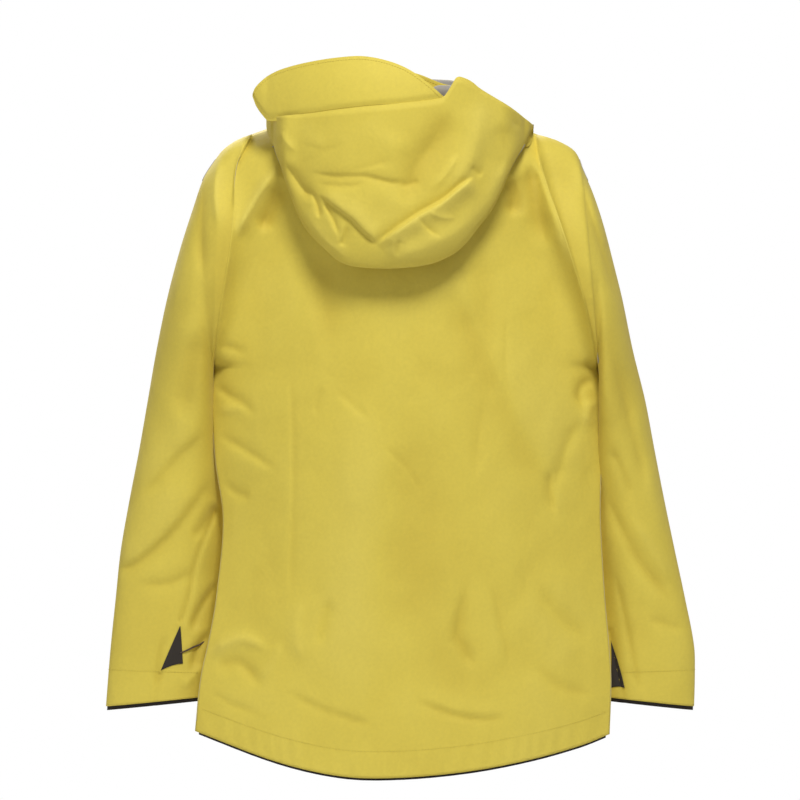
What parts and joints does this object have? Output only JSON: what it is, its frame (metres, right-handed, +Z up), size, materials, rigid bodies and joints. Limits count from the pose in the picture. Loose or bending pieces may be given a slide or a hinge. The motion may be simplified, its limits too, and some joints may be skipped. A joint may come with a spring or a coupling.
{
  "type": "hardshell jacket",
  "caption": "Hooded waterproof shell jacket hanging by its locker loop, with a full front zip, welded pocket zips, cuff tabs and hem cord locks.",
  "frame": {"origin": "underside of the locker loop inside the back neck, where a hook bears", "axes": "+Z up, -Y is the wearer's front, +X is the wearer's left"},
  "size_m": [0.6734, 0.2302, 0.8115],
  "materials": {
    "shell_fabric": "matt woven face of a three-layer laminate",
    "backer_fabric": "light grey knit backer",
    "dark_facing": "matt dark facing",
    "cord": "braided elastic cord",
    "zip_tape": "satin coated tape",
    "black_plastic": "satin moulded",
    "slider_metal": "black enamel"
  },
  "bodies": {
    "shell": {"back_panel": "shell_fabric", "back_hem_facing": "dark_facing", "left_front_panel": "shell_fabric", "left_front_hem_facing": "dark_facing", "right_front_panel": "shell_fabric", "right_front_hem_facing": "dark_facing", "collar": "shell_fabric", "collar_lining": "backer_fabric", "hang_loop": "dark_facing", "left_zip_tape": "zip_tape", "right_zip_tape": "zip_tape", "zip_retainer_box": "black_plastic", "storm_flap": "shell_fabric", "left_pocket_zip": "zip_tape", "left_pocket_bag": "backer_fabric", "right_pocket_zip": "zip_tape", "right_pocket_bag": "backer_fabric", "chest_pocket_zip": "zip_tape", "chest_pocket_bag": "backer_fabric", "left_hem_lock": "black_plastic", "right_hem_lock": "black_plastic"},
    "left_sleeve": {"left_sleeve_outer": "shell_fabric", "left_sleeve_under": "shell_fabric", "left_cuff_facing": "dark_facing", "left_wrist_gusset": "dark_facing", "left_wrist_cord": "cord"},
    "right_sleeve": {"right_sleeve_outer": "shell_fabric", "right_sleeve_under": "shell_fabric", "right_cuff_facing": "dark_facing", "right_wrist_gusset": "dark_facing"},
    "hood": {"hood_centre": "shell_fabric", "hood_left": "shell_fabric", "hood_right": "shell_fabric", "hood_brim": "shell_fabric", "brim_stiffener": "backer_fabric"},
    "left_tab": {"left_cuff_tab": "shell_fabric"},
    "right_tab": {"right_cuff_tab": "shell_fabric"},
    "left_plunger": {"left_hem_plunger": "black_plastic"},
    "right_plunger": {"right_hem_plunger": "black_plastic"},
    "main_zip_slider": {"main_slider": "slider_metal"},
    "main_zip_pull": {"main_pull": "black_plastic"},
    "left_pocket_zip_slider": {"left_pocket_slider": "slider_metal"},
    "left_pocket_zip_pull": {"left_pocket_pull": "black_plastic"},
    "right_pocket_zip_slider": {"right_pocket_slider": "slider_metal"},
    "right_pocket_zip_pull": {"right_pocket_pull": "black_plastic"},
    "chest_pocket_zip_slider": {"chest_pocket_slider": "slider_metal"},
    "chest_pocket_zip_pull": {"chest_pocket_pull": "black_plastic"}
  },
  "joints": [
    {"name": "left_shoulder", "type": "hinge", "parent": "shell", "child": "left_sleeve", "pos_m": [0.168, -0.042, -0.0339], "axis": [0, -1, 0], "range_deg": [0, 50]},
    {"name": "right_shoulder", "type": "hinge", "parent": "shell", "child": "right_sleeve", "pos_m": [-0.168, -0.042, -0.0339], "axis": [0, 1, 0], "range_deg": [0, 50]},
    {"name": "hood_lift", "type": "hinge", "parent": "shell", "child": "hood", "pos_m": [0, 0.016, -0.003], "axis": [1, 0, 0], "range_deg": [0, 50]},
    {"name": "left_tab_peel", "type": "hinge", "parent": "left_sleeve", "child": "left_tab", "pos_m": [0.29947, -0.1118, -0.6626], "axis": [-0.1637, -0.029, 0.9861], "range_deg": [0, 110]},
    {"name": "right_tab_peel", "type": "hinge", "parent": "right_sleeve", "child": "right_tab", "pos_m": [-0.29947, -0.1118, -0.6626], "axis": [-0.1637, 0.029, -0.9861], "range_deg": [0, 110]},
    {"name": "main_zip", "type": "slide", "parent": "shell", "child": "main_zip_slider", "axis": [0, -0.018, -0.9998], "range_m": [0, 0.698]},
    {"name": "main_pull_swing", "type": "hinge", "parent": "main_zip_slider", "child": "main_zip_pull", "pos_m": [0, -0.10361, 0.02409], "axis": [-1, 0, 0], "range_deg": [0, 140]},
    {"name": "left_pocket_zip", "type": "slide", "parent": "shell", "child": "left_pocket_zip_slider", "axis": [0.1895, 0.0375, -0.9812], "range_m": [0, 0.16]},
    {"name": "left_pocket_pull_swing", "type": "hinge", "parent": "left_pocket_zip_slider", "child": "left_pocket_zip_pull", "pos_m": [0.11617, -0.10249, -0.46252], "axis": [-0.9254, -0.3273, -0.1912], "range_deg": [0, 140]},
    {"name": "right_pocket_zip", "type": "slide", "parent": "shell", "child": "right_pocket_zip_slider", "axis": [-0.1895, 0.0375, -0.9812], "range_m": [0, 0.16]},
    {"name": "right_pocket_pull_swing", "type": "hinge", "parent": "right_pocket_zip_slider", "child": "right_pocket_zip_pull", "pos_m": [-0.11617, -0.10249, -0.46252], "axis": [-0.9254, 0.3273, 0.1912], "range_deg": [0, 140]},
    {"name": "chest_pocket_zip", "type": "slide", "parent": "shell", "child": "chest_pocket_zip_slider", "axis": [0, 0.0175, -0.9998], "range_m": [0, 0.104]},
    {"name": "chest_pocket_pull_swing", "type": "hinge", "parent": "chest_pocket_zip_slider", "child": "chest_pocket_zip_pull", "pos_m": [0.09211, -0.11508, -0.15334], "axis": [-0.9999, -0.0122, -0.0002], "range_deg": [0, 140]},
    {"name": "left_plunger_press", "type": "slide", "parent": "shell", "child": "left_plunger", "axis": [0, 0, -1], "range_m": [0, 0.0025], "stiffness_N_per_m": 300},
    {"name": "right_plunger_press", "type": "slide", "parent": "shell", "child": "right_plunger", "axis": [0, 0, -1], "range_m": [0, 0.0025], "stiffness_N_per_m": 300}
  ]
}
